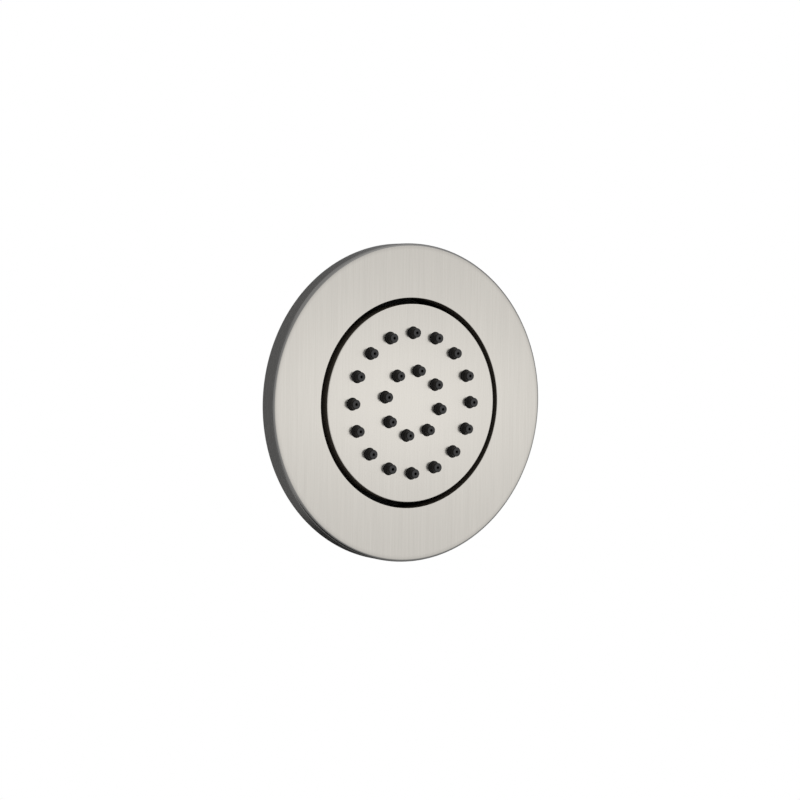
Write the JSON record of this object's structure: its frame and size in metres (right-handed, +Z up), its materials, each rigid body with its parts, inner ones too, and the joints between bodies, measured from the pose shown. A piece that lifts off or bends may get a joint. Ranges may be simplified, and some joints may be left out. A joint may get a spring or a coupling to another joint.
{
  "type": "shower body jet",
  "caption": "Round wall body jet: a flat brushed ring round a brushed spray plate with black silicone nozzles on a swivel ball, and a threaded pipe inlet behind the wall.",
  "frame": {"origin": "centre of the wall face, on the jet's axis", "axes": "+Y into the wall along the jet's axis, +Z up, so the jet sprays along -Y"},
  "size_m": [0.1, 0.0488, 0.1],
  "materials": {
    "brushed_nickel": "satin",
    "black_silicone": "satin",
    "black_moulding": "satin",
    "grey_rubber": "matte",
    "foam_rubber": "matte",
    "turned_brass": "satin",
    "chromed_brass": "polished",
    "bearing_plastic": "satin",
    "grey_plastic": "satin",
    "stainless_steel": "satin"
  },
  "bodies": {
    "wall_body": {"cover_ring": "brushed_nickel", "wall_gasket": "foam_rubber", "wall_cup": "black_moulding", "grip_ring": "grey_rubber", "ball_seal": "grey_rubber", "ball_nut": "chromed_brass", "inlet_body": "turned_brass", "lock_nut": "turned_brass", "lock_washer": "stainless_steel", "cup_seal": "grey_rubber", "flow_regulator": "grey_plastic", "regulator_seal": "grey_rubber", "filter_screen": "stainless_steel"},
    "turning_seat": {"ball_seat": "bearing_plastic"},
    "spray_head": {"spray_plate": "brushed_nickel", "nozzle_mat": "black_silicone", "diffuser_plate": "grey_plastic", "head_shell": "black_moulding", "head_screws": "stainless_steel", "swivel_ball": "chromed_brass", "stud_seal": "grey_rubber", "stud_nut": "turned_brass"}
  },
  "joints": [
    {"name": "head_turn", "type": "hinge", "parent": "wall_body", "child": "turning_seat", "pos_m": [0, 0.008, 0], "axis": [0, 1, 0], "continuous": true},
    {"name": "head_tilt", "type": "hinge", "parent": "turning_seat", "child": "spray_head", "pos_m": [0, 0.008, 0], "axis": [1, 0, 0], "range_deg": [-7, 7]}
  ]
}
